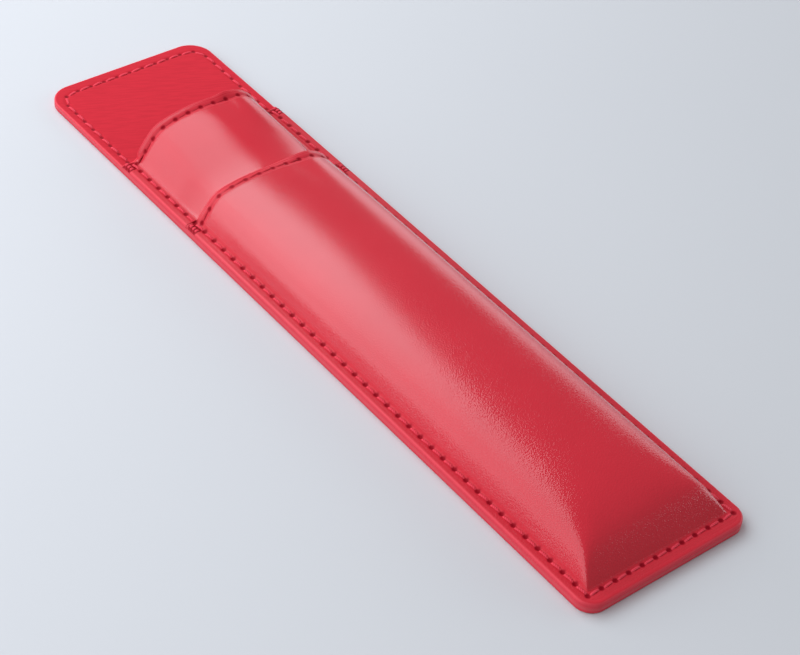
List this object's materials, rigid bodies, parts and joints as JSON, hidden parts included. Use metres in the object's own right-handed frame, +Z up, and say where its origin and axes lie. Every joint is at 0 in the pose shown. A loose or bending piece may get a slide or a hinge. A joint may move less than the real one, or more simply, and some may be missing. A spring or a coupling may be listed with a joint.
{
  "type": "single pen sleeve",
  "caption": "Flat sewn leather sleeve for one pen: stiffened back with a bare tab, a moulded closed-end pocket and a keeper band across the mouth.",
  "frame": {"origin": "under the middle of the sleeve, on the flat underside that it lies on", "axes": "+X across the sleeve, +Y along it from the closed end to the open tab, +Z up through the domed front"},
  "size_m": [0.036, 0.16, 0.0104],
  "materials": {
    "leather": "smooth satin leather with a fine pebble grain",
    "tab_lining": "matt lining with faint brushed streaks",
    "pocket_lining": "matt woven-backed lining",
    "board": "uncoated fibre board",
    "thread": "waxed polyester sewing thread"
  },
  "bodies": {
    "root": {"back_panel": "leather", "pocket_panel": "leather", "band_panel": "leather", "back_lining": "tab_lining", "pocket_lining": "pocket_lining", "band_lining": "pocket_lining", "back_board": "board", "perimeter_stitches_front": "thread", "perimeter_stitches_back": "thread", "pocket_mouth_stitches": "thread", "band_mouth_stitches": "thread", "pocket_bar_tacks": "thread", "band_bar_tacks": "thread"}
  },
  "joints": []
}
